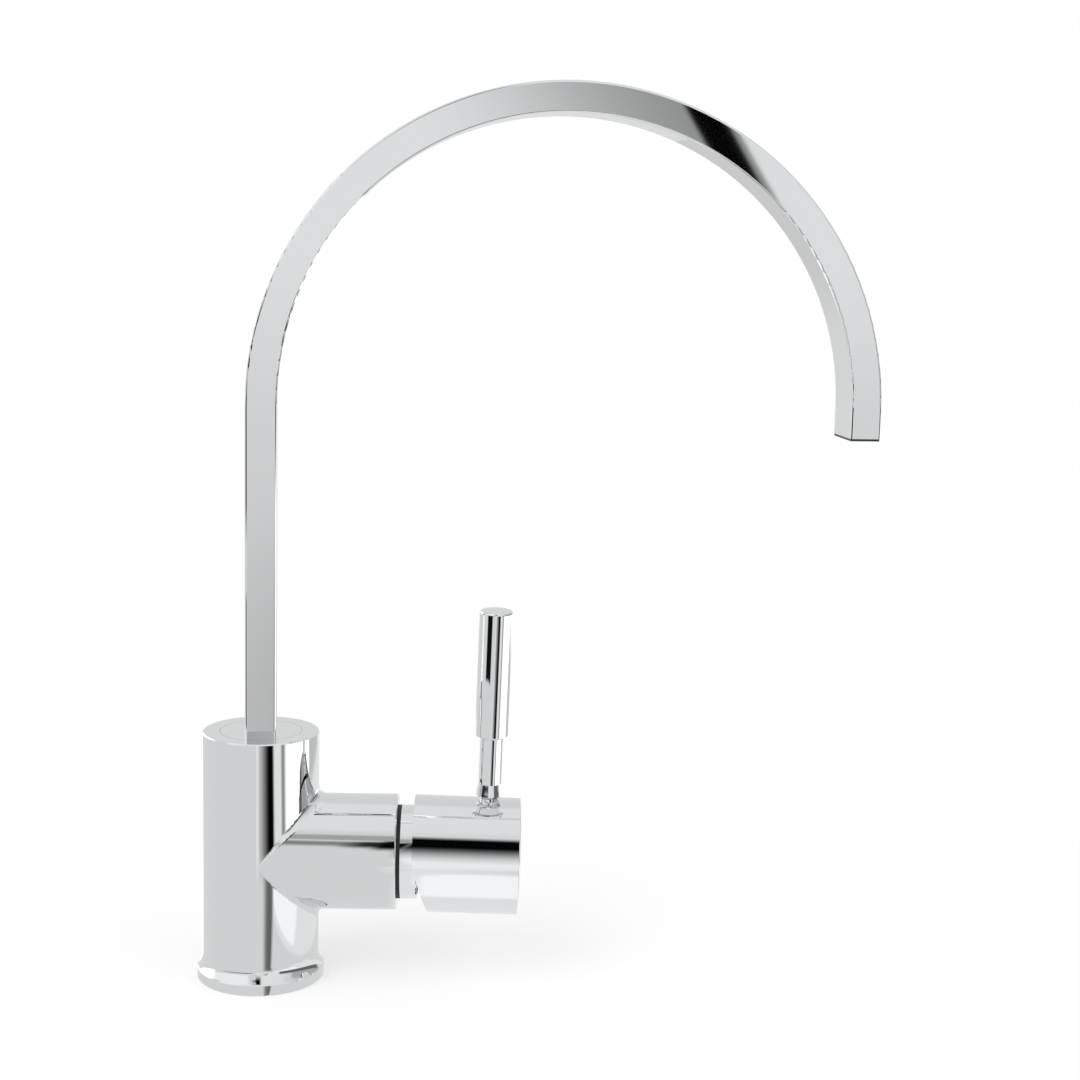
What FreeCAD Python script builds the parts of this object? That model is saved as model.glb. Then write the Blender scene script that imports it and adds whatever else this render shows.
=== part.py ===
import FreeCAD, Part
import math
import os
from FreeCAD import Placement, Rotation, Vector

# Three way filtered water tap for a kitchen sink: a turned body with a side
# arm, a flat gooseneck spout that swivels on it, and one lever that opens hot,
# cold or filtered water through a ceramic disc cartridge in the arm.
#
# Millimetres. The origin is the centre of the base on the worktop, +Z is up
# and the arm points along +X. The solids stand in the photographed pose.

# ---------------------------------------------------------------- body sizes
body_radius = 23.5          # turned barrel
body_height = 103.0         # worktop to the top face
foot_radius = 25.8          # rim that spreads the load on the worktop
foot_rim_height = 4.8       # upright part of that rim
foot_cove_height = 10.8     # where the hollow flare runs out into the barrel
body_edge = 0.5             # broken edges of the casting
overcut = 1.0               # how far a cutting tool runs past the face it cuts
end_gap = 0.3               # space left beyond the end of a thread or a shoulder

arm_radius = 23.4           # side arm that holds the cartridge
arm_height = 52.8           # its axis above the worktop
arm_reach = 55.9            # its end face, from the body axis
arm_blend = 4.0             # fillet between the arm and the barrel

# ---------------------------------------------------------- worktop interface
inlet_pitch_radius = 11.0   # three hose ports on one circle
inlet_angles = (60, -60, 180)       # cold, hot and filtered, from the arm's side
inlet_thread_radius = 4.5   # M10x1 tapping bore
inlet_thread_depth = 14.0
riser_radius = 3.0          # waterway above each hose port
stud_offset = 15.5          # fixing stud, towards the arm
stud_thread_radius = 3.4    # M8 tapping bore
stud_thread_depth = 14.0
gasket_outer_radius = 23.0
gasket_inner_radius = 20.4
gasket_thickness = 2.0

# ------------------------------------------------------------------ cartridge
cartridge_depth = 40.9      # seat of the cartridge, behind the arm's end face
cartridge_radius = 17.4
cartridge_clearance = 0.1   # radial, in the arm bore
port_plate_thickness = 5.0
port_radius = 2.6
port_seal_width = 1.6
port_seal_thickness = 1.3
inlet_port_drop = 5.0       # hot and cold ports below the arm axis
filter_port_drop = 11.0     # filtered inlet port below the arm axis
filter_outlet_rise = 8.5    # filtered outlet port above the arm axis
mixed_outlet_rise = 5.5
mixed_outlet_side = 8.5
disc_thickness = 3.0
fixed_disc_radius = 15.2
moving_disc_radius = 11.0
moving_disc_thickness = 4.0
mixing_pocket_length = 11.0 # hollow in the moving disc that joins the ports
mixing_pocket_width = 6.6
mixing_pocket_corner = 2.0
mixing_pocket_offset = 2.2
disc_port_share = 0.62      # disc ports lie nearer the axis than the plate's
disc_port_radius = 2.1
lapped_gap = 0.05           # film between the two ceramic discs
carrier_thickness = 5.0
carrier_socket_play = 0.3   # per side, round the stem's finger
housing_wall = 2.1
housing_length = 31.0       # from the seat to the shoulder that the nut bears on
housing_roof = 2.0          # end wall behind the shoulder
housing_neck_radius = 14.4
housing_neck_length = 8.5
rotor_neck_radius = 11.5
rotor_gap = 0.1             # radial running clearance of the rotor
rotor_slot_width = 8.4
rotor_slot_height = 18.6
rotor_seal_inner = 10.2
rotor_seal_sink = 4.0       # middle of the seal, behind the neck's end
pivot_sink = 5.0            # pin that the stem rocks on, behind the shoulder
pivot_pin_radius = 1.5
pivot_pin_length = 24.0
stem_width = 8.0            # square part of the stem
stem_chamfer = 0.6
stem_square_back = 4.5      # square part behind the pin
stem_square_front = 35.5    # and in front of it
stem_finger_radius = 2.7    # round finger that pushes the disc carrier
stem_finger_reach = 11.5    # from the pin to the finger's tip
rocking_fit = 0.05          # radial, stem on its pin

nut_thread_radius = 18.0
nut_bore_radius = 14.7
nut_neck_radius = 16.0
nut_thread_length = 6.0
nut_neck_length = 2.8
nut_slot_width = 4.0
nut_slot_depth = 1.5
thread_gap = 0.05           # stands for the thread between mating pieces

cover_radius = 19.0         # chromed ring between the arm and the lever hub
cover_seal_thickness = 1.5  # black ring between the arm and the cover ring
cover_thickness = 6.8
cover_opening_radius = 13.2
cover_skirt_radius = 17.3
cover_recess_radius = 17.0  # room for the hub's boss as the lever rocks
cover_recess_depth = 2.3
cover_edge = 0.5

# ---------------------------------------------------------------- lever group
hub_radius = 23.7
hub_overlap = 2.0           # how far the cover ring reaches into the hub
hub_length = 43.2
hub_crown = 0.9             # bulge of the end face
hub_bore_radius = 21.6
hub_bore_depth = 17.6
hub_boss_radius = 8.4
hub_boss_sink = 4.4         # boss for the stem, behind the hub's open end
hub_edge = 0.4
hub_relief_angle = 16.0     # slanted cut that lets the hub rock
hub_relief_rise = 3.5       # where that cut starts above the axis
stem_fit = 0.05             # per side, hub socket on the square stem
hub_screw_distance = 10.3    # from the hub's open end
hub_screw_radius = 2.5
hub_screw_length = 4.0
hex_key_size = 2.5          # across flats, in both set screws

lever_inset = 13.1          # lever axis, behind the hub's end face
lever_tail_radius = 3.0
lever_tail_start = 13.0     # all lever heights are from the arm axis
lever_neck_radius = 3.8
lever_neck_start = 20.5
lever_stem_radius = 4.75
lever_stem_start = 25.0
lever_foot_radius = 5.5     # flared foot of the stem, just clear of the hub
lever_foot_length = 6.0
lever_foot_edge = 1.2
lever_relief_depth = 0.8
lever_relief_height = 0.9
grip_radius = 6.7
grip_start = 51.0
grip_end = 102.9
grip_top_edge = 1.1
grip_bottom_edge = 0.4
grip_socket_depth = 24.0
grip_spigot_radius = 3.4

lever_turn_rest = 1.5       # lever turned towards the front, degrees
lever_tilt_rest = 1.2       # lever rocked away from the body, degrees

# ---------------------------------------------------------------- spout group
spout_width = 25.0          # flat side of the tube
spout_thickness = 12.35     # seen in the plane of the arch
spout_wall = 1.2
spout_corner = 0.9
spout_inner_corner = 0.45
spout_arch_radius = 121.3   # to the middle of the tube
spout_arch_height = 235.7   # centre of the arch above the worktop
spout_drop = 10.7           # straight length below the arch at the outlet
spout_swivel_rest = 5.65    # spout turned to the back, degrees

collar_radius = 16.5        # round collar that carries the tube
collar_height = 5.2
collar_gap = 0.1
collar_socket_depth = 4.6
spigot_radius = 12.92
spigot_bore_radius = 13.0
spigot_length = 26.4        # below the body's top face
spigot_floor_gap = 0.6
spigot_inner_radius = 9.0
spigot_inner_depth = 11.4   # hollow round the boss, from the spigot's end
spigot_boss_radius = 6.0
spigot_boss_rise = 2.0
washer_thickness = 0.75
washer_inner_radius = 13.1
o_ring_section_radius = 1.0
o_ring_groove_width = 2.4
lower_o_ring_rise = 3.7     # above the spigot's end
upper_o_ring_rise = 10.0
groove_screw_drop = 9.9     # retaining groove and its screw, below the top face
groove_screw_width = 3.2
groove_screw_depth = 1.6
body_screw_radius = 2.5
body_screw_tip_radius = 1.2
body_screw_tip_length = 2.4
body_screw_tip_gap = 0.5    # between the tip and the floor of its groove
body_screw_sink = 1.4
screw_socket_depth = 2.4
water_slot_width = 4.2
water_slot_length = 7.6
water_slot_offset = 6.9
water_slot_corner = 1.9

feed_pipe_radius = 3.5      # filtered water, from the body into the spout
feed_pipe_bore = 2.2
feed_pipe_drop = 8.7        # its upper end, below the body's top face
feed_pipe_seat_share = 0.6  # its lower end, between the filter drilling and the spigot
feed_pipe_fit = 0.1
feed_seal_section_radius = 0.72
feed_seal_rise = 5.8        # above the spigot's end
inner_tube_radius = 3.0     # filtered water, along the spout
inner_tube_wall = 0.9
inner_tube_drop = 6.8       # its lower end, below the body's top face

insert_fit = 0.05
insert_height = 9.0
insert_corner = 0.5
insert_rim_wall = 0.8       # of the insert, round the steel plate
insert_flange_height = 0.9  # black rim that shows below the tube's end
insert_flange_inset = 0.1
grid_thickness = 0.8
grid_recess = 0.4
grid_hole_radius = 0.6
grid_hole_pitch = 2.2
insert_window_width = 6.6
insert_window_length = 7.0
insert_window_offset = 6.9
insert_window_corner = 1.0
nozzle_radius = 2.0
nozzle_wall = 0.6
nozzle_height = 5.0
insert_seal_width = 2.0
insert_seal_depth = 1.1
insert_seal_rise = 5.0

# ------------------------------------------------------------ derived places
seal_gap = 0.04
seat_distance = arm_reach - cartridge_depth
housing_shoulder = seat_distance + housing_length
housing_neck_end = housing_shoulder + housing_neck_length
port_plate_end = seat_distance + port_plate_thickness
fixed_disc_end = port_plate_end + disc_thickness
moving_disc_start = fixed_disc_end + lapped_gap
moving_disc_end = moving_disc_start + moving_disc_thickness
carrier_end = moving_disc_end + carrier_thickness
housing_bore_radius = cartridge_radius - housing_wall
rotor_radius = housing_bore_radius - rotor_gap
rotor_start = carrier_end + end_gap
rotor_shoulder = housing_shoulder - housing_roof - end_gap
rotor_end = housing_neck_end + end_gap
rotor_seal_height = housing_neck_end - rotor_seal_sink
stem_pivot = housing_shoulder - pivot_sink
nut_flange_end = housing_shoulder + nut_thread_length
nut_end = nut_flange_end + nut_neck_length
cover_start = arm_reach + cover_seal_thickness
cover_end = cover_start + cover_thickness
hub_start = cover_end - hub_overlap
hub_end = hub_start + hub_length
lever_distance = hub_end - lever_inset

spigot_end = body_height - spigot_length
spigot_floor = spigot_end - spigot_floor_gap
lower_o_ring_height = spigot_end + lower_o_ring_rise
upper_o_ring_height = spigot_end + upper_o_ring_rise
groove_screw_height = body_height - groove_screw_drop
mixed_outlet_height = arm_height + mixed_outlet_rise
filter_outlet_height = arm_height + filter_outlet_rise
feed_pipe_start = filter_outlet_height + feed_pipe_seat_share * (spigot_floor - filter_outlet_height)
feed_pipe_end = body_height - feed_pipe_drop
feed_seal_height = spigot_end + feed_seal_rise
inner_tube_seat = body_height - inner_tube_drop
tube_foot = body_height - collar_socket_depth
tube_end = spout_arch_height - spout_drop
collar_start = body_height - collar_height
washer_start = collar_start - washer_thickness - lapped_gap
spout_reach = 2 * spout_arch_radius

ARM = Placement(Vector(0, 0, arm_height), Rotation(Vector(0, 1, 0), 90))
X_AXIS = Vector(1, 0, 0)
Y_AXIS = Vector(0, 1, 0)
Z_AXIS = Vector(0, 0, 1)


# ------------------------------------------------------------------- helpers
def rod(radius, start, end, x=0.0, y=0.0):
    """Round bar along Z between two heights."""
    return Part.makeCylinder(radius, end - start, Vector(x, y, start))


def ring(outer, inner, start, end, x=0.0, y=0.0):
    """Plain ring along Z between two heights."""
    return rod(outer, start, end, x, y).cut(rod(inner, start - overcut, end + overcut, x, y))


def block(width, depth, start, end, x=0.0, y=0.0):
    """Box centred on x and y between two heights."""
    corner = Vector(x - width / 2, y - depth / 2, start)
    return Part.makeBox(width, depth, end - start, corner)


def rounded_block(width, depth, corner, start, end, x=0.0, y=0.0):
    """Box with its four upright edges rounded."""
    solid = block(width, depth, start, end, x, y)
    upright = [e for e in solid.Edges if abs(e.BoundBox.ZLength - (end - start)) < 1e-6]
    return solid.makeFillet(corner, upright)


def turned(profile):
    """Solid of revolution about Z from a closed outline of (radius, height) points."""
    points = [Vector(radius, 0, height) for radius, height in profile]
    outline = Part.makePolygon(points + points[:1])
    return Part.Face(outline).revolve(Vector(0, 0, 0), Z_AXIS, 360)


def o_ring(inner, section_radius, height):
    """Rubber ring about Z whose inside has the given radius."""
    return Part.makeTorus(inner + section_radius, section_radius, Vector(0, 0, height))


def hex_socket(across_flats, start, end):
    """Hexagonal key hole along Z between two heights."""
    corner_radius = across_flats / math.sqrt(3)
    turns = [math.radians(60 * k) for k in range(6)]
    points = [Vector(corner_radius * math.cos(a), corner_radius * math.sin(a), start) for a in turns]
    outline = Part.makePolygon(points + points[:1])
    return Part.Face(outline).extrude(Vector(0, 0, end - start))


def placed(shape, placement):
    """Copy of a shape moved by a placement."""
    moved = shape.copy()
    moved.transformShape(placement.toMatrix(), True)
    return moved


def about(point, axis, angle):
    """Placement that turns about an axis through a point."""
    return Placement(Vector(0, 0, 0), Rotation(axis, angle), point)


def in_arm(shape):
    """Lay a piece that was made along Z into the arm, so that Z runs along +X."""
    return placed(shape, ARM)


def turned_with_lever(shape):
    """Turn a piece of the arm about the arm axis to the lever's rest angle."""
    axis_point = Vector(0, 0, arm_height)
    return placed(shape, about(axis_point, X_AXIS, lever_turn_rest))


def tilted_with_lever(shape):
    """Rock a piece on the stem pivot to its rest tilt, then turn it with the lever."""
    pivot_point = Vector(stem_pivot, 0, arm_height)
    rocked = placed(shape, about(pivot_point, Y_AXIS, lever_tilt_rest))
    return turned_with_lever(rocked)


def swivelled(shape):
    """Turn a piece of the spout to its rest angle on the body."""
    return placed(shape, Placement(Vector(0, 0, 0), Rotation(Z_AXIS, spout_swivel_rest)))


def lever_bar(radius, start, end):
    """Round bar along the lever axis, with heights from the arm axis."""
    return Part.makeCylinder(radius, end - start, Vector(lever_distance, 0, arm_height + start))


# ------------------------------------------------------------------- the body
inlet_points = [
    (inlet_pitch_radius * math.cos(math.radians(a)), inlet_pitch_radius * math.sin(math.radians(a)))
    for a in inlet_angles
]
inlet_port_heights = (
    arm_height - inlet_port_drop,
    arm_height - inlet_port_drop,
    arm_height - filter_port_drop,
)


def foot_outline():
    """Closed outline of the barrel with its coved foot, in the XZ plane."""
    cove_depth = foot_radius - body_edge - body_radius
    cove_height = foot_cove_height - foot_rim_height
    cove_radius = (cove_depth ** 2 + cove_height ** 2) / (2 * cove_depth)
    half_turn = math.asin(cove_height / cove_radius) / 2
    cove_middle = Vector(
        body_radius + cove_radius * (1 - math.cos(half_turn)),
        0,
        foot_cove_height - cove_radius * math.sin(half_turn),
    )
    cove_foot = Vector(foot_radius - body_edge, 0, foot_rim_height)
    cove_head = Vector(body_radius, 0, foot_cove_height)
    corners = [
        Vector(0, 0, 0),
        Vector(foot_radius - body_edge, 0, 0),
        Vector(foot_radius, 0, body_edge),
        Vector(foot_radius, 0, foot_rim_height - body_edge),
        cove_foot,
    ]
    top = [
        cove_head,
        Vector(body_radius, 0, body_height - body_edge),
        Vector(body_radius - body_edge, 0, body_height),
        Vector(0, 0, body_height),
        Vector(0, 0, 0),
    ]
    edges = [Part.makeLine(a, b) for a, b in zip(corners, corners[1:])]
    edges.append(Part.Arc(cove_foot, cove_middle, cove_head).toShape())
    edges += [Part.makeLine(a, b) for a, b in zip(top, top[1:])]
    return Part.Wire(edges)


def body_casting():
    """Barrel and arm in one casting, with the fillet where they meet."""
    barrel = Part.Face(foot_outline()).revolve(Vector(0, 0, 0), Z_AXIS, 360)
    arm = in_arm(turned([
        (0, 0),
        (arm_radius, 0),
        (arm_radius, arm_reach - body_edge),
        (arm_radius - body_edge, arm_reach),
        (0, arm_reach),
    ]))
    casting = barrel.fuse(arm)
    seam = [
        e for e in casting.Edges
        if e.BoundBox.XMin > 0.1 and e.BoundBox.XMax < body_radius + 1
        and abs(e.BoundBox.Center.z - arm_height) < arm_radius
        and 1 < e.BoundBox.ZLength < 2 * arm_radius + 1
    ]
    return casting.makeFillet(arm_blend, seam)


def body_waterways():
    """Hose ports, risers and the drillings to the cartridge seat, as one list of tools."""
    tools = []
    for (x, y), height in zip(inlet_points, inlet_port_heights):
        tools.append(rod(inlet_thread_radius, -overcut, inlet_thread_depth, x, y))
        tools.append(rod(riser_radius, 0, height, x, y))
        drill_length = seat_distance - x + overcut
        tools.append(Part.makeCylinder(port_radius, drill_length, Vector(x, y, height), X_AXIS))
    drill_length = seat_distance + overcut
    mixed_start = Vector(0, mixed_outlet_side, mixed_outlet_height)
    tools.append(Part.makeCylinder(port_radius, drill_length, mixed_start, X_AXIS))
    tools.append(rod(port_radius, mixed_outlet_height, spigot_floor + overcut, 0, mixed_outlet_side))
    filter_start = Vector(0, 0, filter_outlet_height)
    tools.append(Part.makeCylinder(feed_pipe_bore, drill_length, filter_start, X_AXIS))
    tools.append(rod(feed_pipe_bore, filter_outlet_height, feed_pipe_start + overcut))
    tools.append(rod(feed_pipe_radius, feed_pipe_start, spigot_floor + overcut))
    return tools


def tap_body():
    """Body casting with its bores, the cartridge chamber and the worktop holes."""
    body = body_casting()
    tools = body_waterways()
    tools.append(rod(stud_thread_radius, -overcut, stud_thread_depth, stud_offset, 0))
    tools.append(ring(gasket_outer_radius, gasket_inner_radius, -overcut, gasket_thickness))
    tools.append(rod(spigot_bore_radius, spigot_floor, body_height + overcut))
    tools.append(rod(collar_radius + collar_gap, washer_start, body_height + overcut))
    cartridge_bore = cartridge_radius + cartridge_clearance
    tools.append(in_arm(rod(cartridge_bore, seat_distance, arm_reach + overcut)))
    tools.append(in_arm(rod(nut_thread_radius + thread_gap, housing_shoulder, arm_reach + overcut)))
    screw_start = Vector(0, spigot_bore_radius - overcut, groove_screw_height)
    tools.append(Part.makeCylinder(body_screw_radius, body_radius, screw_start, Y_AXIS))
    for tool in tools:
        body = body.cut(tool)
    return body


def base_gasket():
    """Rubber ring in the underside of the foot, flush with the worktop."""
    return ring(gasket_outer_radius, gasket_inner_radius, 0, gasket_thickness)


def spout_retaining_screw():
    """Dog point set screw in the back of the body that holds the spout down."""
    tip_start = spigot_radius - groove_screw_depth + body_screw_tip_gap
    shank_start = tip_start + body_screw_tip_length
    screw_end = body_radius - body_screw_sink
    screw = rod(body_screw_tip_radius, tip_start, shank_start)
    screw = screw.fuse(rod(body_screw_radius - thread_gap, shank_start, screw_end))
    screw = screw.cut(hex_socket(hex_key_size, screw_end - screw_socket_depth, screw_end + overcut))
    return placed(screw, Placement(Vector(0, 0, groove_screw_height), Rotation(X_AXIS, -90)))


def filtered_feed_pipe():
    """Pipe that stands in the body and carries filtered water up into the spout."""
    return ring(feed_pipe_radius, feed_pipe_bore, feed_pipe_start, feed_pipe_end)


# -------------------------------------------------------------- the cartridge
def port_places(share=1.0):
    """Centres of the five ports in the arm's own X (down) and Y, scaled to the axis."""
    inlets = [(arm_height - h, y) for (_, y), h in zip(inlet_points, inlet_port_heights)]
    outlets = [(-mixed_outlet_rise, mixed_outlet_side), (-filter_outlet_rise, 0.0)]
    return [(x * share, y * share) for x, y in inlets + outlets]


def port_plate():
    """Bottom plate of the cartridge: its channels lead the ports in to the discs."""
    plate = rod(cartridge_radius, seat_distance, port_plate_end)
    channel_start = seat_distance + port_plate_thickness / 2
    for (x, y), (near_x, near_y) in zip(port_places(), port_places(disc_port_share)):
        recess = port_radius + port_seal_width
        port_top = channel_start + disc_port_radius
        plate = plate.cut(rod(port_radius, seat_distance - overcut, port_top, x, y))
        plate = plate.cut(rod(recess, seat_distance - overcut, seat_distance + port_seal_thickness, x, y))
        for share in (0.0, 0.5, 1.0):
            step_x = near_x + (x - near_x) * share
            step_y = near_y + (y - near_y) * share
            plate = plate.cut(rod(disc_port_radius, channel_start, port_plate_end + overcut, step_x, step_y))
    return in_arm(plate)


def port_seals():
    """Flat rubber rings between the cartridge ports and the seat in the body."""
    outer = port_radius + port_seal_width
    seals = [
        ring(outer, port_radius, seat_distance, seat_distance + port_seal_thickness, x, y)
        for x, y in port_places()
    ]
    return in_arm(Part.makeCompound(seals))


def fixed_disc():
    """Ceramic disc that stays on the port plate."""
    disc = rod(fixed_disc_radius, port_plate_end, fixed_disc_end)
    for x, y in port_places(disc_port_share):
        disc = disc.cut(rod(disc_port_radius, port_plate_end - overcut, fixed_disc_end + overcut, x, y))
    return in_arm(disc)


def moving_disc():
    """Ceramic disc with the mixing pocket, pushed about by the stem."""
    disc = rod(moving_disc_radius, moving_disc_start, moving_disc_end)
    pocket_depth = moving_disc_thickness / 2
    pocket = rounded_block(
        mixing_pocket_length, mixing_pocket_width, mixing_pocket_corner,
        moving_disc_start - overcut, moving_disc_start + pocket_depth, mixing_pocket_offset, 0,
    )
    return turned_with_lever(in_arm(disc.cut(pocket)))


def disc_carrier():
    """Plastic carrier on the moving disc, with the socket for the stem's finger."""
    carrier = rod(moving_disc_radius, moving_disc_end, carrier_end)
    socket_width = 2 * (stem_finger_radius + carrier_socket_play)
    socket_length = socket_width + 2 * carrier_socket_play
    socket_floor = stem_pivot - stem_finger_reach - 2 * carrier_socket_play
    socket = block(socket_length, socket_width, socket_floor, carrier_end + overcut)
    return turned_with_lever(in_arm(carrier.cut(socket)))


def cartridge_housing():
    """Plastic shell that holds the discs and guides the rotor."""
    neck_bore = rotor_neck_radius + rotor_gap
    roof = housing_shoulder - housing_roof
    return in_arm(turned([
        (housing_bore_radius, port_plate_end),
        (cartridge_radius, port_plate_end),
        (cartridge_radius, housing_shoulder),
        (housing_neck_radius, housing_shoulder),
        (housing_neck_radius, housing_neck_end),
        (neck_bore, housing_neck_end),
        (neck_bore, roof),
        (housing_bore_radius, roof),
    ]))


def stem_rotor():
    """Plastic rotor that turns with the lever and carries the pivot pin."""
    seal_width = 2 * (rotor_neck_radius - rotor_seal_inner)
    groove_start = rotor_seal_height - seal_width / 2
    groove_end = rotor_seal_height + seal_width / 2
    rotor = turned([
        (0, rotor_start),
        (rotor_radius, rotor_start),
        (rotor_radius, rotor_shoulder),
        (rotor_neck_radius, rotor_shoulder),
        (rotor_neck_radius, groove_start),
        (rotor_seal_inner - seal_gap, groove_start),
        (rotor_seal_inner - seal_gap, groove_end),
        (rotor_neck_radius, groove_end),
        (rotor_neck_radius, rotor_end),
        (0, rotor_end),
    ])
    slot = block(rotor_slot_height, rotor_slot_width, rotor_start - overcut, rotor_end + overcut)
    pin_start = Vector(0, -pivot_pin_length / 2, stem_pivot)
    pin_hole = Part.makeCylinder(pivot_pin_radius, pivot_pin_length, pin_start, Y_AXIS)
    return turned_with_lever(in_arm(rotor.cut(slot).cut(pin_hole)))


def rotor_seal():
    """Rubber ring that keeps water behind the rotor's neck."""
    section = (rotor_neck_radius + rotor_gap - seal_gap - rotor_seal_inner) / 2
    return turned_with_lever(in_arm(o_ring(rotor_seal_inner, section, rotor_seal_height)))


def stem_pivot_pin():
    """Steel pin through the rotor that the stem rocks on."""
    pin_start = Vector(0, -pivot_pin_length / 2, stem_pivot)
    pin = Part.makeCylinder(pivot_pin_radius, pivot_pin_length, pin_start, Y_AXIS)
    return turned_with_lever(in_arm(pin))


def cartridge_stem():
    """Stem from the disc carrier's socket through the pivot pin to the lever hub."""
    square_start = stem_pivot - stem_square_back
    square = block(stem_width, stem_width, square_start, stem_pivot + stem_square_front)
    square = square.makeChamfer(stem_chamfer, square.Edges)
    ball_height = stem_pivot - stem_finger_reach + stem_finger_radius
    finger = rod(stem_finger_radius, ball_height, square_start + overcut)
    ball = Part.makeSphere(stem_finger_radius, Vector(0, 0, ball_height))
    stem = square.fuse(finger).fuse(ball)
    hole_start = Vector(0, -stem_width, stem_pivot)
    hole = Part.makeCylinder(pivot_pin_radius + rocking_fit, 2 * stem_width, hole_start, Y_AXIS)
    return tilted_with_lever(in_arm(stem.cut(hole)))


def cartridge_nut():
    """Brass ring nut that clamps the cartridge's shoulder in the arm."""
    nut = turned([
        (nut_bore_radius, housing_shoulder),
        (nut_thread_radius, housing_shoulder),
        (nut_thread_radius, nut_flange_end),
        (nut_neck_radius, nut_flange_end),
        (nut_neck_radius, nut_end),
        (nut_bore_radius, nut_end),
    ])
    key_slot = block(nut_slot_width, 4 * nut_thread_radius, nut_end - nut_slot_depth, nut_end + overcut)
    return in_arm(nut.cut(key_slot))


def cover_ring():
    """Chromed ring that hides the nut and screws on to its neck."""
    skirt_bore = nut_neck_radius + thread_gap
    inner_face = nut_end + end_gap
    skirt_start = nut_flange_end + end_gap
    return in_arm(turned([
        (skirt_bore, skirt_start),
        (cover_skirt_radius, skirt_start),
        (cover_skirt_radius, cover_start),
        (cover_radius, cover_start),
        (cover_radius, cover_end - cover_edge),
        (cover_radius - cover_edge, cover_end),
        (cover_recess_radius, cover_end),
        (cover_recess_radius, cover_end - cover_recess_depth),
        (cover_opening_radius, cover_end - cover_recess_depth),
        (cover_opening_radius, inner_face),
        (skirt_bore, inner_face),
    ]))


def cover_ring_seal():
    """Black rubber ring between the arm's end face and the cover ring."""
    return in_arm(ring(cover_radius, cover_skirt_radius + seal_gap, arm_reach, cover_start))


# ------------------------------------------------------------- the lever group
def hub_shell():
    """Outside of the hub with its crowned end, its bore and its slanted relief."""
    crown_radius = (hub_radius ** 2 + hub_crown ** 2) / (2 * hub_crown)
    bar = rod(hub_radius, hub_start, hub_end + hub_crown)
    crown_centre = Vector(0, 0, hub_end + hub_crown - crown_radius)
    crown = Part.makeSphere(crown_radius, crown_centre)
    shell = bar.common(crown)
    rim = [e for e in shell.Edges if abs(e.BoundBox.ZMax - hub_end) < 0.01 and e.BoundBox.ZLength < 0.01]
    shell = shell.makeFillet(hub_edge, rim)
    bore_end = hub_start + hub_bore_depth
    shell = shell.cut(rod(hub_bore_radius, hub_start - overcut, bore_end))
    boss_start = hub_start + hub_boss_sink
    boss = rod(hub_boss_radius, boss_start, bore_end)
    shell = shell.fuse(boss)
    socket_width = stem_width + 2 * stem_fit
    socket_end = stem_pivot + stem_square_front + end_gap
    shell = shell.cut(block(socket_width, socket_width, boss_start - overcut, socket_end))
    relief = Part.makeBox(4 * hub_radius, 4 * hub_radius, hub_radius, Vector(0, -2 * hub_radius, -hub_radius))
    relief.rotate(Vector(0, 0, 0), Y_AXIS, -hub_relief_angle)
    relief.translate(Vector(-hub_relief_rise, 0, hub_start))
    return shell.cut(relief)


def lever_hub():
    """Hub that caps the cartridge: holds the stem, its set screw and the lever."""
    hub = in_arm(hub_shell())
    hub = hub.cut(lever_bar(lever_tail_radius + thread_gap, lever_tail_start, hub_radius + overcut))
    hub = hub.cut(lever_bar(lever_neck_radius + thread_gap, lever_neck_start, hub_radius + overcut))
    key_hole_start = Vector(hub_start + hub_screw_distance, 0, arm_height - hub_radius - overcut)
    key_hole = Part.makeCylinder(hub_screw_radius, hub_radius, key_hole_start)
    return tilted_with_lever(hub.cut(key_hole))


def hub_set_screw():
    """Set screw in the hub's boss that clamps the square stem from below."""
    screw_top = -stem_width / 2 - stem_fit
    screw_bottom = screw_top - hub_screw_length
    screw = rod(hub_screw_radius - thread_gap, screw_bottom, screw_top)
    screw = screw.cut(hex_socket(hex_key_size, screw_bottom - overcut, screw_bottom + screw_socket_depth))
    screw.translate(Vector(hub_start + hub_screw_distance, 0, arm_height))
    return tilted_with_lever(screw)


def lever_rod():
    """Turned rod: threaded tail in the hub, neck, stem and the spigot for the grip."""
    grip_seat = grip_start - lever_relief_height
    relief_radius = lever_stem_radius - lever_relief_depth
    tail_end = lever_tail_start + end_gap
    spigot_top = grip_start + grip_socket_depth - end_gap
    bar = turned([
        (0, tail_end),
        (lever_tail_radius, tail_end),
        (lever_tail_radius, lever_neck_start),
        (lever_neck_radius, lever_neck_start),
        (lever_neck_radius, lever_stem_start),
        (lever_foot_radius - lever_foot_edge, lever_stem_start),
        (lever_foot_radius, lever_stem_start + lever_foot_edge),
        (lever_stem_radius, lever_stem_start + lever_foot_length),
        (lever_stem_radius, grip_seat),
        (relief_radius, grip_seat),
        (relief_radius, grip_start),
        (grip_spigot_radius, grip_start),
        (grip_spigot_radius, spigot_top),
        (0, spigot_top),
    ])
    bar.translate(Vector(lever_distance, 0, arm_height))
    return tilted_with_lever(bar)


def lever_grip():
    """Heavier grip on the end of the rod, with its top edge rounded over."""
    grip = rod(grip_radius, grip_start, grip_end)
    top = [e for e in grip.Edges if e.BoundBox.ZMin > grip_end - 0.01]
    grip = grip.makeFillet(grip_top_edge, top)
    bottom = [e for e in grip.Edges if e.BoundBox.ZMax < grip_start + 0.01]
    grip = grip.makeFillet(grip_bottom_edge, bottom)
    socket = rod(grip_spigot_radius + thread_gap, grip_start - overcut, grip_start + grip_socket_depth)
    grip = grip.cut(socket)
    grip.translate(Vector(lever_distance, 0, arm_height))
    return tilted_with_lever(grip)


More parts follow.
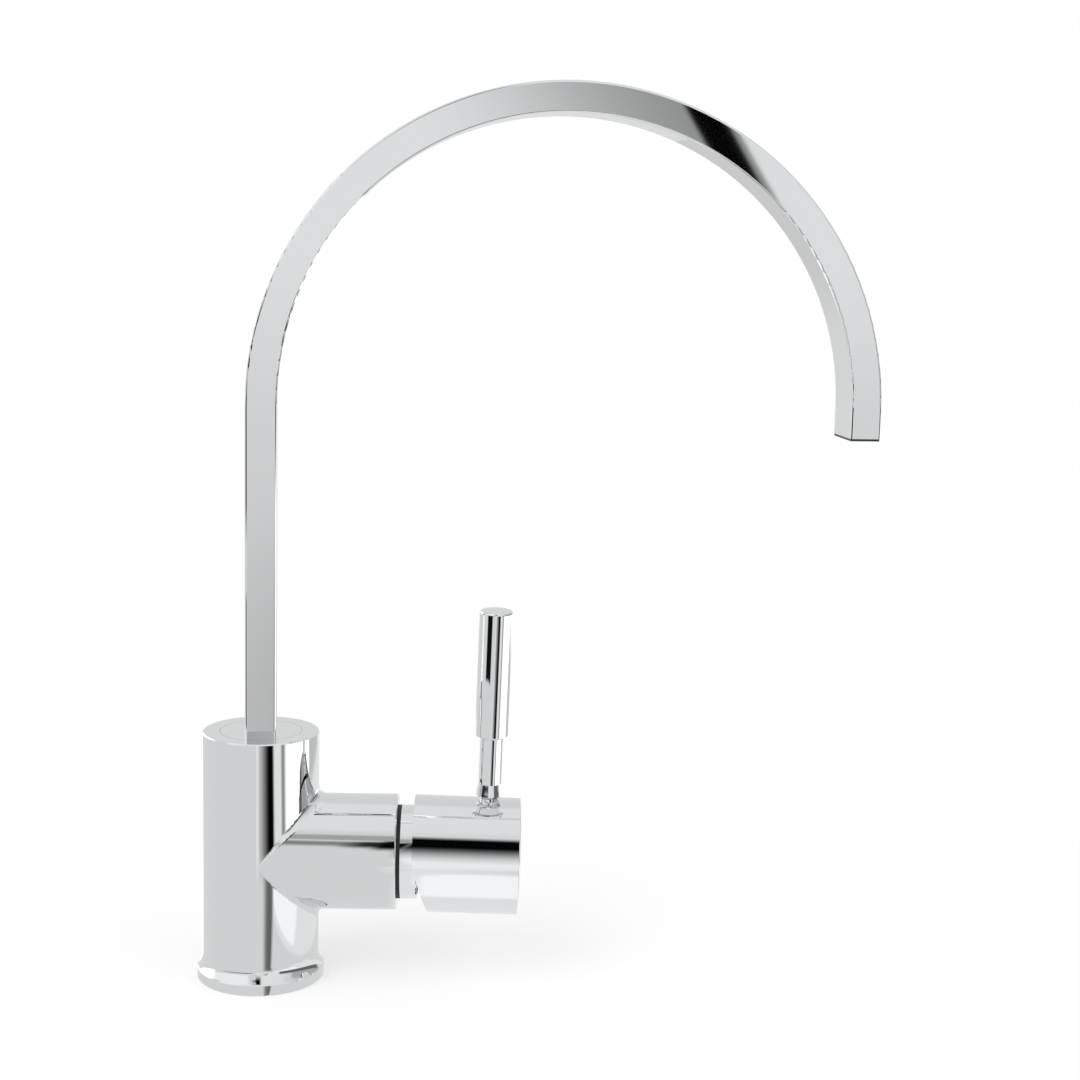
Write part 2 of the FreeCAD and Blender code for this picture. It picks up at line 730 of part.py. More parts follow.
# -------------------------------------------------------------- the spout group
def along_spout(section):
    """Carry a face that lies at the tube's foot up the leg, then over the arch."""
    rise = Vector(0, 0, spout_arch_height - section.BoundBox.ZMin)
    leg = section.extrude(rise)
    lifted = section.copy()
    lifted.translate(rise)
    arch_centre = Vector(spout_arch_radius, 0, spout_arch_height)
    return leg, lifted.revolve(arch_centre, Y_AXIS, 180)


def flat_section(width, thickness, corner, height):
    """Rounded rectangle across the spout: width along Y, thickness along X."""
    slab = rounded_block(thickness, width, corner, height, height + 1)
    return [f for f in slab.Faces if abs(f.BoundBox.ZMax - height) < 1e-6][0]


def spout_sweep(width, thickness, corner, foot, end):
    """Solid of one flat section along the spout, from its foot to its outlet."""
    section = flat_section(width, thickness, corner, foot)
    leg, arch = along_spout(section)
    drop = rounded_block(thickness, width, corner, end, spout_arch_height, spout_reach, 0)
    return leg.fuse([arch, drop]).removeSplitter()


def spout_tube():
    """Flat hollow tube of the spout."""
    outer = spout_sweep(spout_width, spout_thickness, spout_corner, tube_foot, tube_end)
    inner = spout_sweep(
        spout_width - 2 * spout_wall, spout_thickness - 2 * spout_wall,
        spout_inner_corner, tube_foot - overcut, tube_end - overcut,
    )
    return swivelled(outer.cut(inner))


def filtered_inner_tube():
    """Thin plastic tube that keeps filtered water apart along the whole spout."""
    def pipe(radius, foot, end):
        disc = Part.Face(Part.Wire(Part.makeCircle(radius, Vector(0, 0, foot), Z_AXIS)))
        leg, arch = along_spout(disc)
        drop = rod(radius, end, spout_arch_height, spout_reach, 0)
        return leg.fuse([arch, drop])

    outlet = tube_end + grid_recess + grid_thickness + nozzle_height
    wall = pipe(inner_tube_radius, inner_tube_seat, outlet)
    bore = pipe(inner_tube_radius - inner_tube_wall, inner_tube_seat - overcut, outlet - overcut)
    return swivelled(wall.cut(bore))


def groove(height, width, floor):
    """Tool that cuts a ring groove into the spigot."""
    return ring(spigot_radius + overcut, floor, height - width / 2, height + width / 2)


def spout_tailpiece():
    """Turned collar and spigot under the tube, with seal grooves and waterways."""
    collar = rod(collar_radius, collar_start, body_height)
    piece = collar.fuse(rod(spigot_radius, spigot_end, collar_start + overcut))
    inner_top = spigot_end + spigot_inner_depth
    annulus = ring(spigot_inner_radius, spigot_boss_radius, spigot_end - overcut, inner_top)
    piece = piece.cut(annulus)
    boss_start = spigot_end + spigot_boss_rise
    piece = piece.cut(rod(spigot_inner_radius, spigot_end - overcut, boss_start))
    pipe_bore = feed_pipe_radius + feed_pipe_fit
    piece = piece.cut(rod(pipe_bore, boss_start - overcut, feed_pipe_end + end_gap))
    piece = piece.cut(rod(feed_pipe_bore, feed_pipe_end, inner_tube_seat + overcut))
    piece = piece.cut(rod(inner_tube_radius + insert_fit, inner_tube_seat, body_height))
    socket = rounded_block(spout_thickness, spout_width, spout_corner, tube_foot, body_height + overcut)
    piece = piece.cut(socket)
    for side in (-1, 1):
        slot = rounded_block(
            water_slot_length, water_slot_width, water_slot_corner,
            inner_top - overcut, tube_foot + overcut, 0, side * water_slot_offset,
        )
        piece = piece.cut(slot)
    seal_floor = spigot_bore_radius - seal_gap - 2 * o_ring_section_radius - seal_gap
    for height in (lower_o_ring_height, upper_o_ring_height):
        piece = piece.cut(groove(height, o_ring_groove_width, seal_floor))
    piece = piece.cut(groove(groove_screw_height, groove_screw_width, spigot_radius - groove_screw_depth))
    feed_groove = feed_pipe_radius + 2 * seal_gap + 2 * feed_seal_section_radius
    half_width = feed_seal_section_radius + seal_gap
    piece = piece.cut(rod(feed_groove, feed_seal_height - half_width, feed_seal_height + half_width))
    return swivelled(piece)


def spigot_o_ring(height):
    """Rubber ring that seals the spigot in the body."""
    inner = spigot_bore_radius - seal_gap - 2 * o_ring_section_radius
    return swivelled(o_ring(inner, o_ring_section_radius, height))


def feed_pipe_seal():
    """Small rubber ring in the spigot's boss that seals on the feed pipe."""
    return swivelled(o_ring(feed_pipe_radius + seal_gap, feed_seal_section_radius, feed_seal_height))


def swivel_washer():
    """Slippery plastic washer that the spout's collar turns on."""
    return ring(collar_radius, washer_inner_radius, washer_start, washer_start + washer_thickness)


# ---------------------------------------------------------------- the outlet
flange_start = tube_end - insert_flange_height
flange_end = tube_end - lapped_gap
insert_start = tube_end + grid_recess + grid_thickness
insert_width = spout_width - 2 * (spout_wall + insert_fit)
insert_thickness = spout_thickness - 2 * (spout_wall + insert_fit)


def outlet_insert():
    """Plastic insert that splits the outlet into mixed windows and a filtered bore."""
    insert_end = insert_start + insert_height
    insert = rounded_block(
        insert_thickness, insert_width, insert_corner, flange_start, insert_end, spout_reach, 0
    )
    flange = rounded_block(
        spout_thickness - 2 * insert_flange_inset, spout_width - 2 * insert_flange_inset,
        spout_corner, flange_start, flange_end, spout_reach, 0,
    )
    plate_recess = rounded_block(
        insert_thickness - 2 * insert_rim_wall, insert_width - 2 * insert_rim_wall,
        insert_corner, flange_start - overcut, insert_start, spout_reach, 0,
    )
    insert = insert.fuse(flange).cut(plate_recess)
    for side in (-1, 1):
        window = rounded_block(
            insert_window_length, insert_window_width, insert_window_corner,
            insert_start - overcut, insert_end + overcut, spout_reach, side * insert_window_offset,
        )
        insert = insert.cut(window)
    nozzle_bore = nozzle_radius + insert_fit
    insert = insert.cut(rod(nozzle_bore, insert_start - overcut, insert_end, spout_reach, 0))
    tube_socket = insert_start + nozzle_height
    tube_bore = inner_tube_radius + insert_fit
    insert = insert.cut(rod(tube_bore, tube_socket, insert_end + overcut, spout_reach, 0))
    seal_start = insert_start + insert_seal_rise
    seal_end = seal_start + insert_seal_width
    insert = insert.cut(seal_frame(seal_start, seal_end, overcut))
    return swivelled(insert)


def seal_frame(start, end, reach):
    """Rectangular frame about the insert, standing out past it by the given reach."""
    outer = rounded_block(
        insert_thickness + 2 * reach, insert_width + 2 * reach, insert_corner, start, end, spout_reach, 0
    )
    inner = block(
        insert_thickness - 2 * insert_seal_depth, insert_width - 2 * insert_seal_depth,
        start - overcut, end + overcut, spout_reach, 0,
    )
    return outer.cut(inner)


def outlet_seal():
    """Rubber frame in the insert's groove that seals it in the tube."""
    start = insert_start + insert_seal_rise
    return swivelled(seal_frame(start, start + insert_seal_width, insert_fit))


def stream_grid():
    """Perforated steel plate under the insert that straightens the mixed water."""
    plate = rounded_block(
        insert_thickness - 2 * (insert_rim_wall + insert_fit),
        insert_width - 2 * (insert_rim_wall + insert_fit), insert_corner,
        tube_end + grid_recess, insert_start, spout_reach, 0,
    )
    top = insert_start + overcut
    plate = plate.cut(rod(nozzle_radius + insert_fit, tube_end, top, spout_reach, 0))
    steps = (-1, 0, 1)
    for side in (-1, 1):
        for i in steps:
            for j in steps:
                x = spout_reach + i * grid_hole_pitch
                y = side * insert_window_offset + j * grid_hole_pitch
                plate = plate.cut(rod(grid_hole_radius, tube_end, top, x, y))
    return swivelled(plate)


def filtered_nozzle():
    """Small nozzle that lets filtered water out by itself between the windows."""
    nozzle_end = insert_start + nozzle_height
    return swivelled(ring(nozzle_radius, nozzle_radius - nozzle_wall, tube_end, nozzle_end, spout_reach, 0))


# --------------------------------------------------------------------- export
parts = {
    "tap_body": tap_body(),
    "base_gasket": base_gasket(),
    "spout_retaining_screw": spout_retaining_screw(),
    "filtered_feed_pipe": filtered_feed_pipe(),
    "swivel_washer": swivel_washer(),
    "cartridge_port_plate": port_plate(),
    "cartridge_port_seals": port_seals(),
    "cartridge_fixed_disc": fixed_disc(),
    "cartridge_housing": cartridge_housing(),
    "cartridge_nut": cartridge_nut(),
    "cover_ring": cover_ring(),
    "cover_ring_seal": cover_ring_seal(),
    "cartridge_moving_disc": moving_disc(),
    "cartridge_disc_carrier": disc_carrier(),
    "cartridge_rotor": stem_rotor(),
    "cartridge_rotor_seal": rotor_seal(),
    "stem_pivot_pin": stem_pivot_pin(),
    "cartridge_stem": cartridge_stem(),
    "lever_hub": lever_hub(),
    "hub_set_screw": hub_set_screw(),
    "lever_rod": lever_rod(),
    "lever_grip": lever_grip(),
    "spout_tube": spout_tube(),
    "spout_tailpiece": spout_tailpiece(),
    "spigot_o_ring_lower": spigot_o_ring(lower_o_ring_height),
    "spigot_o_ring_upper": spigot_o_ring(upper_o_ring_height),
    "feed_pipe_seal": feed_pipe_seal(),
    "filtered_inner_tube": filtered_inner_tube(),
    "outlet_insert": outlet_insert(),
    "outlet_seal": outlet_seal(),
    "stream_grid": stream_grid(),
    "filtered_nozzle": filtered_nozzle(),
}

os.makedirs("parts", exist_ok=True)
for name, shape in parts.items():
    shape.exportStep(os.path.join("parts", name + ".step"))
    box = shape.BoundBox
    size = f"{box.XLength:.1f} x {box.YLength:.1f} x {box.ZLength:.1f}"
    print(f"{name}: {len(shape.Solids)} solid(s), {shape.Volume:.0f} mm3, {size} mm, valid {shape.isValid()}")
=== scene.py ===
import math

import bpy
import numpy as np
from mathutils import Matrix, Vector

bl_info = {
    "name": "Three way filtered water tap",
    "version": (1, 0, 0),
    "blender": (4, 5, 0),
    "location": "View3D > Sidebar > Tap",
    "description": "Finishes, studio and camera for a chromed three way kitchen tap",
    "category": "Object",
}

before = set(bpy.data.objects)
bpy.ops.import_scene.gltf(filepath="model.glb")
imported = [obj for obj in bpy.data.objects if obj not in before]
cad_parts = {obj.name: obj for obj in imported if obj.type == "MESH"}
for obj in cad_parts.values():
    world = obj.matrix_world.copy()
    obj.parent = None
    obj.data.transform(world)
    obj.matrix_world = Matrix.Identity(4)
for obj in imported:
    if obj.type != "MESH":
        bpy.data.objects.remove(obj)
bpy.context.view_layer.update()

MM = 0.001
WHITE = (1.0, 1.0, 1.0, 1.0)


# ------------------------------------------------------------------ small helpers
def decoded(value):
    """Linear light of an sRGB value from 0 to 1, by the power part of its curve."""
    return ((value + 0.055) / 1.055) ** 2.4


def linear(hex_colour):
    """sRGB hex to linear RGBA, by a curve that is straight up to 0.04045 and a power above."""
    digits = hex_colour.lstrip("#")
    channels = np.array([int(digits[i:i + 2], 16) for i in (0, 2, 4)]) / 255
    return (*np.where(channels <= 0.04045, channels / 12.92, decoded(channels)), 1.0)


def add_node(tree, kind, links=None, **settings):
    """Add a node, set its properties and unlinked inputs, and link its other inputs."""
    node = tree.nodes.new(kind)
    for key, value in settings.items():
        if key.startswith("in_"):
            node.inputs[int(key[3:])].default_value = value
        else:
            setattr(node, key, value)
    for socket, source in (links or {}).items():
        tree.links.new(source, node.inputs[socket])
    return node


def surface(name, colour, **sockets):
    """Material with one Principled shader, as (material, tree, shader).

    Its colour and the constants of the named sockets stand on the shader itself.
    """
    material = bpy.data.materials.new(name)
    material.use_nodes = True
    material.diffuse_color = linear(colour)
    tree = material.node_tree
    tree.nodes.clear()
    output = add_node(tree, "ShaderNodeOutputMaterial")
    shader = add_node(tree, "ShaderNodeBsdfPrincipled")
    shader.inputs["Base Color"].default_value = linear(colour)
    for socket, value in sockets.items():
        shader.inputs[socket].default_value = value
    tree.links.new(shader.outputs[0], output.inputs[0])
    return material, tree, shader


def object_point(tree):
    """Object coordinates, which are the shared frame's metres."""
    return add_node(tree, "ShaderNodeTexCoord").outputs["Object"]


def relief(tree, shader, per_mm, strength, depth_mm, detail=2.0):
    """Shallow bump in the surface: noise with this many cells per millimetre."""
    noise = add_node(tree, "ShaderNodeTexNoise", {"Vector": object_point(tree)})
    noise.inputs["Scale"].default_value = per_mm / MM
    noise.inputs["Detail"].default_value = detail
    bump = add_node(tree, "ShaderNodeBump", {"Height": noise.outputs["Fac"]})
    bump.inputs["Strength"].default_value = strength
    bump.inputs["Distance"].default_value = depth_mm * MM
    tree.links.new(bump.outputs["Normal"], shader.inputs["Normal"])


# ------------------------------------------------------------------ finishes
def polished_chromium(name, finish, wave_mm, wave_depth_mm):
    """Bright chromium plate over polished brass.

    It gives the eye a mirror a shade darker than silver, faintly blue, whose
    reflections bend a little where the polishing wheel has left long shallow waves.
    """
    material, tree, shader = surface(
        name, finish.chrome_colour, Metallic=1.0, Roughness=finish.chrome_roughness)
    relief(tree, shader, per_mm=1 / wave_mm, strength=1.0, depth_mm=wave_depth_mm, detail=0.0)
    return material


def machined_brass(finish):
    """Turned brass, left as machined: a warm metal whose fine tool marks blur its shine."""
    material, tree, shader = surface(
        "machined brass", finish.brass_colour, Metallic=1.0, Roughness=0.28)
    relief(tree, shader, per_mm=4.0, strength=0.15, depth_mm=0.02)
    return material


def stainless_steel(finish):
    """Stainless steel, turned or punched: a grey metal with a soft satin shine."""
    material, tree, shader = surface(
        "stainless steel", finish.steel_colour, Metallic=1.0, Roughness=0.3)
    relief(tree, shader, per_mm=4.0, strength=0.12, depth_mm=0.02)
    return material


def moulded_rubber(finish):
    """Moulded EPDM rubber: near black and matt, with a dull sheen at a low angle."""
    material, tree, shader = surface(
        "moulded rubber", finish.rubber_colour, Roughness=0.62, IOR=1.52)
    relief(tree, shader, per_mm=3.0, strength=0.25, depth_mm=0.03)
    return material


def lapped_alumina(finish):
    """Alumina ceramic, lapped flat: dense white with a soft even gloss."""
    return surface("lapped alumina", finish.ceramic_colour, Roughness=0.22, IOR=1.76)[0]


def moulded_plastic(name, colour, roughness=0.45):
    """Moulded acetal or filled nylon, or drawn tube: even colour, waxy gloss, fine grain."""
    material, tree, shader = surface(name, colour, Roughness=roughness, IOR=1.48)
    relief(tree, shader, per_mm=2.5, strength=0.2, depth_mm=0.02)
    return material


# ------------------------------------------------------------------ settings
class TapFinish(bpy.types.PropertyGroup):
    """Colours of the tap's finishes, as sRGB hex, and the blur of its chromium."""

    chrome_colour: bpy.props.StringProperty(
        name="Chrome", description="Colour that the chromium plate mirrors with", default="#E8E9EA")
    chrome_roughness: bpy.props.FloatProperty(
        name="Chrome roughness", description="Blur of the plate's mirror image",
        default=0.018, min=0.0, max=1.0, subtype="FACTOR")
    brass_colour: bpy.props.StringProperty(
        name="Brass", description="Colour of the bare brass pieces", default="#D9B56C")
    steel_colour: bpy.props.StringProperty(
        name="Steel", description="Colour of the screws, pin and outlet plate", default="#B9BABC")
    rubber_colour: bpy.props.StringProperty(
        name="Rubber", description="Colour of the seals and the gasket", default="#17181A")
    ceramic_colour: bpy.props.StringProperty(
        name="Ceramic", description="Colour of the discs", default="#EFEDE8")
    housing_colour: bpy.props.StringProperty(
        name="Housing", description="Colour of the cartridge housing and washer", default="#E4E2DC")
    carrier_colour: bpy.props.StringProperty(
        name="Carrier", description="Colour of the plate, carrier and rotor", default="#6B6E72")
    tube_colour: bpy.props.StringProperty(
        name="Inner tube", description="Colour of the filtered water tube", default="#4C76B4")
    insert_colour: bpy.props.StringProperty(
        name="Outlet insert", description="Colour of the insert and the nozzle", default="#242527")


class TapStudio(bpy.types.PropertyGroup):
    """Camera, floor and light of the stage."""

    lens: bpy.props.FloatProperty(
        name="Lens", description="Focal length on a 36 mm sensor", default=63.10, unit="CAMERA")
    place: bpy.props.FloatVectorProperty(
        name="Camera place", description="Where the camera stands, in metres",
        default=(0.08904, -0.74943, 0.29697), subtype="TRANSLATION", unit="LENGTH")
    yaw: bpy.props.FloatProperty(
        name="Yaw", description="How far the camera looks to the right",
        default=math.radians(1.70), subtype="ANGLE")
    pitch: bpy.props.FloatProperty(
        name="Pitch", description="How far the camera looks down",
        default=math.radians(8.644), subtype="ANGLE")
    roll: bpy.props.FloatProperty(
        name="Roll", description="How far the camera is rolled",
        default=math.radians(1.311), subtype="ANGLE")
    floor_colour: bpy.props.StringProperty(
        name="Floor", description="Colour of the floor", default="#F7F7F7")
    floor_glow: bpy.props.FloatProperty(
        name="Floor glow", description="Share of the white backdrop in the floor by the tap",
        default=0.55, min=0.0, max=1.0, subtype="FACTOR")
    sky_level: bpy.props.FloatProperty(
        name="Sky level", description="Strength of the even white light all round",
        default=0.75, min=0.0, max=2.0)
    plate_tone: bpy.props.StringProperty(
        name="Plate tone", description="Chromium's colour that the studio's tones are set for",
        default="#E8E9EA")


# ------------------------------------------------------------------ the stage
# What the chrome mirrors: a pale studio with lights, panels and black flags.
# Each row is the tone that the plate shows of it (0 to 255, above that brighter
# than white), its four edges across and its four edges upwards, in degrees, and
# how many degrees it leans across for each degree upwards. It fades in between
# the first two edges and out between the last two. Across is 0 straight in front
# of the tap and 90 on its right. A later row lies over the rows before it.
STUDIO_ROWS = {
    "front panel, left": (231, (-100, -85, -22, -12), (2, 8, 55, 70), 0),
    "front panel, right": (219, (-2.6, -2.2, 45, 60), (-6, 0, 50, 55), 0),
    "bright strip before the hub": (231, (-2.6, -2.1, 1.6, 2.8), (-15.5, -13.5, -2, 5), 0),
    "bright strip, low end": (224, (-3.4, -2.0, 1.4, 3.0), (-30, -25, -14, -12), 0),
    "upper flag": (3, (-2.75, -2.35, 3, 9), (0, 31, 43, 53), 0),
    "upper flag, thin end": (125, (-12, -8, -2.7, -2.4), (22, 30, 32, 37), 0),
    "upper flag, wedge": (40, (-4.9, -3.9, -2.7, -2.4), (19, 29, 32, 38), 0),
    "upper flag, root of the wedge": (2, (-3.75, -3.1, -2.7, -2.4), (15, 26, 35, 44), 0),
    "grey strip above the flag": (158, (-12, -9, -2.9, -2.6), (36, 39, 45, 50), 0),
    "shade before the leaning flag": (140, (11, 20.6, 20.7, 20.9), (-1, 1, 6, 9), -0.6),
    "leaning flag": (0, (19.5, 19.7, 20.5, 20.7), (0.5, 1.5, 5.2, 6.4), -0.6),
    "front flag": (4, (-4, 22, 28, 33), (-30, -25, -14, -5), 0),
    "right panel": (220, (31, 35, 56, 60), (-45, -35, 0, 10), 0),
    "right soft box": (275, (53, 60, 113, 119), (-45, -35, -8, -4), 0),
    "right upper panel": (165, (62, 72, 128, 140), (-9, -4, 22, 32), 0),
    "right edge flag": (95, (38, 44, 128, 140), (-8, -5, 5, 9), 0),
    "left edge flag": (40, (-78, -62, -11, -8), (-9, -7.5, -1.5, -0.5), 0),
    "thin line": (140, (44, 48.5, 50.5, 56), (-30, -25, -10, 0), 0),
    "right rear panel": (185, (113, 119, 148, 156), (-35, -30, -14, -13), 0),
    "right rear soft box": (262, (108, 114, 150, 160), (-13.5, -12.5, -6, -3), 0),
    "rear panel": (230, (154, 160, 172, 176), (-35, -30, -5, 5), 0),
    "rear panel, far": (192, (-182, -181, -168, -160), (-30, -24, -8, -2), 0),
    "left soft box": (265, (-160, -150, -95, -85), (-8, 0, 30, 40), 0),
    "low flag, left": (105, (-184, -183, -100, -70), (-75, -68, -38, -28), 0),
    "low flag, front": (90, (-75, -65, -20, -14), (-65, -58, -36, -26), 0),
}
# Tone of the studio's cloth by degrees upwards, from straight down to straight up.
CLOTH_TONES = ((-90, 214), (-75, 206), (15, 206), (50, 204), (60, 217), (90, 219))

# Painted reflection of the floor: the tones it glows with to a mirror, painted light and
# shade laid over its paper in place of real lighting. Each row is a tone and its
# windows, with four edges as above. They run along x or y or away from the middle of
# the body, in metres, or by bearing, in degrees about the place that is their key.
BLACK_CARD = "black card, out before the lever"
FLOOR_ROWS = {
    # painted light on the mirrored paper: lighter right of the body and brighter before the hub
    "painted lighter paper, right of the body": (220, {"x": (0.050, 0.056, 9.0, 9.1)}),
    "painted light on the paper before the hub": (242, {
        "x": (0.058, 0.066, 0.110, 0.130), "y": (-0.215, -0.175, -0.037, -0.026)}),
    "white card, behind on the left": (262, {(-0.023, 0.0): (-176, -171, -160, -152)}),
    BLACK_CARD: (16, {
        (0.094, 0.0): (-64, -56, -27, -20), "away": (0.418, 0.440, 0.850, 0.950)}),
}
# painted shade: the tone the mirrored paper glows with round the tap, darker than the paper's own
# white
PAINTED_PAPER_SHADE_TONE = 206
PAPER_MIDDLE = (-0.03, 0.12, 0.0)
PAPER_EDGE = (0.27, 0.33)  # radii in metres between which the mirrored paper ends
GAP_WINDOW = {(0.003, -0.020): (6, 18, 26, 34)}
GAP_PAPER = 0.18  # share of the paper that is left in its gap

GLOW_EDGE = (0.10, 0.45)  # radii in metres between which the floor turns to backdrop
FLOOR_HALF = 40.0

# Each lamp's place and side in metres, and its power in watts.
LAMPS = {
    "key_lamp": ((-0.9, -1.2, 1.6), 1.6, 22.0),
    "fill_lamp": ((1.4, -0.8, 1.1), 1.8, 10.0),
}
TAP_MIDDLE = Vector((0.1, 0.0, 0.15))

SENSOR_MM = 36.0
CLIP_NEAR, CLIP_FAR = 0.05, 200.0


def emitted(tone, studio):
    """Light that chromium plate shows as this tone."""
    return decoded(tone / 255) / linear(studio.plate_tone)[0]


def even_grey(tone, studio):
    """Linear RGBA of the light that chromium plate shows as this tone."""
    return (*3 * (emitted(tone, studio),), 1.0)


def window(tree, value, edges):
    """0 outside the four edges and 1 between the middle two, with smooth slopes."""
    first, second, third, last = edges
    slopes = [
        add_node(
            tree, "ShaderNodeMapRange", {0: value}, interpolation_type="SMOOTHSTEP",
            in_1=low, in_2=high, in_3=start, in_4=1.0 - start).outputs[0]
        for low, high, start in ((first, second, 0.0), (third, last, 1.0))
    ]
    return add_node(
        tree, "ShaderNodeMath", dict(enumerate(slopes)), operation="MULTIPLY").outputs[0]


def lay_card(tree, colour, tone, mask, studio):
    """Colour with an even card of this tone laid over it where the mask is 1."""
    return add_node(
        tree, "ShaderNodeMix", {0: mask, 6: colour},
        data_type="RGBA", in_7=even_grey(tone, studio)).outputs[2]


def bearing(tree, point, x=0.0, y=0.0):
    """Degrees round the upright line at x, y: 0 to the front, 90 to the right."""
    place = add_node(tree, "ShaderNodeVectorMath", {0: point}, operation="SUBTRACT", in_1=(x, y, 0))
    split = add_node(tree, "ShaderNodeSeparateXYZ", {0: place.outputs[0]})
    front = add_node(tree, "ShaderNodeMath", {0: split.outputs[1]}, operation="MULTIPLY", in_1=-1.0)
    turn = add_node(
        tree, "ShaderNodeMath", {0: split.outputs[0], 1: front.outputs[0]}, operation="ARCTAN2")
    return add_node(tree, "ShaderNodeMath", {0: turn.outputs[0]}, operation="DEGREES").outputs[0]


def studio_cloth(tree, studio):
    """Colour of the studio by direction: its cloth, then its lights, panels and flags."""
    way = add_node(tree, "ShaderNodeTexCoord").outputs["Generated"]
    across = bearing(tree, way)
    height = add_node(tree, "ShaderNodeSeparateXYZ", {0: way}).outputs[2]
    rise = add_node(tree, "ShaderNodeMath", {0: height}, operation="ARCSINE").outputs[0]
    up = add_node(tree, "ShaderNodeMath", {0: rise}, operation="DEGREES").outputs[0]
    share = add_node(tree, "ShaderNodeMapRange", {0: up}, in_1=-90.0, in_2=90.0).outputs[0]
    cloth = add_node(tree, "ShaderNodeValToRGB", {0: share})
    elements = cloth.color_ramp.elements
    while len(elements) < len(CLOTH_TONES):
        elements.new(0.5)
    for element, (degrees, tone) in zip(elements, CLOTH_TONES):
        element.position = degrees / 180 + 0.5
        element.color = even_grey(tone, studio)
    colour = cloth.outputs[0]
    for tone, sides, heights, lean in STUDIO_ROWS.values():
        along = across
        if lean:
            shift = add_node(tree, "ShaderNodeMath", {0: up}, operation="MULTIPLY", in_1=-lean)
            along = add_node(
                tree, "ShaderNodeMath", {0: across, 1: shift.outputs[0]},
                operation="ADD").outputs[0]
        mask = add_node(
            tree, "ShaderNodeMath",
            {0: window(tree, along, sides), 1: window(tree, up, heights)}, operation="MULTIPLY")
        colour = lay_card(tree, colour, tone, mask.outputs[0], studio)
    return colour


def studio_world(studio):
    """World: white to the camera, the studio's cloth to a mirror, and an even sky to the rest."""
    world = bpy.data.worlds.new("studio")
    bpy.context.scene.world = world
    world.use_nodes = True
    world.cycles.sampling_method = "NONE"  # the cloth lights nothing, so no map is made of it
    tree = world.node_tree
    tree.nodes.clear()
    path = add_node(tree, "ShaderNodeLightPath").outputs
    sky = add_node(tree, "ShaderNodeBackground", in_0=WHITE, in_1=studio.sky_level)
    mirrored = add_node(tree, "ShaderNodeBackground", {0: studio_cloth(tree, studio)}, in_1=1.0)
    seen = add_node(tree, "ShaderNodeBackground", in_0=WHITE, in_1=1.0)
    light = add_node(
        tree, "ShaderNodeMixShader",
        {0: path["Is Glossy Ray"], 1: sky.outputs[0], 2: mirrored.outputs[0]})
    backdrop = add_node(
        tree, "ShaderNodeMixShader",
        {0: path["Is Camera Ray"], 1: light.outputs[0], 2: seen.outputs[0]})
    add_node(tree, "ShaderNodeOutputWorld", {0: backdrop.outputs[0]})


def length_from(tree, point, middle):
    """Metres from the middle to the point."""
    arm = add_node(tree, "ShaderNodeVectorMath", {0: point}, operation="SUBTRACT", in_1=middle)
    return add_node(
        tree, "ShaderNodeVectorMath", {0: arm.outputs[0]}, operation="LENGTH").outputs["Value"]


def floor_mask(tree, point, windows):
    """1 where a point of the floor is inside all of these windows."""
    mask = None
    for key, edges in windows.items():
        if key == "away":
            value = length_from(tree, point, (0.0, 0.0, 0.0))
        elif key in ("x", "y"):
            value = add_node(tree, "ShaderNodeSeparateXYZ", {0: point}).outputs[key.upper()]
        else:
            value = bearing(tree, point, *key)
        share = window(tree, value, edges)
        if mask is not None:
            share = add_node(
                tree, "ShaderNodeMath", {0: mask, 1: share}, operation="MULTIPLY").outputs[0]
        mask = share
    return mask


def painted_floor_reflection(tree, point, studio):
    """Painted reflection of the floor: the shader a mirror sees in its place.

    It glows with painted light and shade of paper round the tap, with a gap that lets
    the front flag through, and a black card further out. Past them it is clear and the studio's
    cloth shows.
    """
    # painted shade: the glowing tone of the paper round the tap as a mirror sees it
    paper = add_node(tree, "ShaderNodeRGB")
    paper.outputs[0].default_value = even_grey(PAINTED_PAPER_SHADE_TONE, studio)
    colour = paper.outputs[0]
    masks = {}
    for name, (tone, windows) in FLOOR_ROWS.items():
        masks[name] = floor_mask(tree, point, windows)
        colour = lay_card(tree, colour, tone, masks[name], studio)
    gap = floor_mask(tree, point, GAP_WINDOW)
    left = add_node(tree, "ShaderNodeMapRange", {0: gap}, in_3=1.0, in_4=GAP_PAPER)
    near = add_node(
        tree, "ShaderNodeMapRange", {0: length_from(tree, point, PAPER_MIDDLE)},
        interpolation_type="SMOOTHSTEP",
        in_1=PAPER_EDGE[0], in_2=PAPER_EDGE[1], in_3=1.0, in_4=0.0)
    sheet = add_node(
        tree, "ShaderNodeMath", {0: near.outputs[0], 1: left.outputs[0]}, operation="MULTIPLY")
    cover = add_node(
        tree, "ShaderNodeMath", {0: sheet.outputs[0], 1: masks[BLACK_CARD]}, operation="MAXIMUM")
    clear = add_node(tree, "ShaderNodeBsdfTransparent")
    # painted reflection: the floor glows with these painted tones to a mirror
    shine = add_node(tree, "ShaderNodeEmission", {0: colour}, in_1=1.0)
    return add_node(
        tree, "ShaderNodeMixShader",
        {0: cover.outputs[0], 1: clear.outputs[0], 2: shine.outputs[0]}).outputs[0]


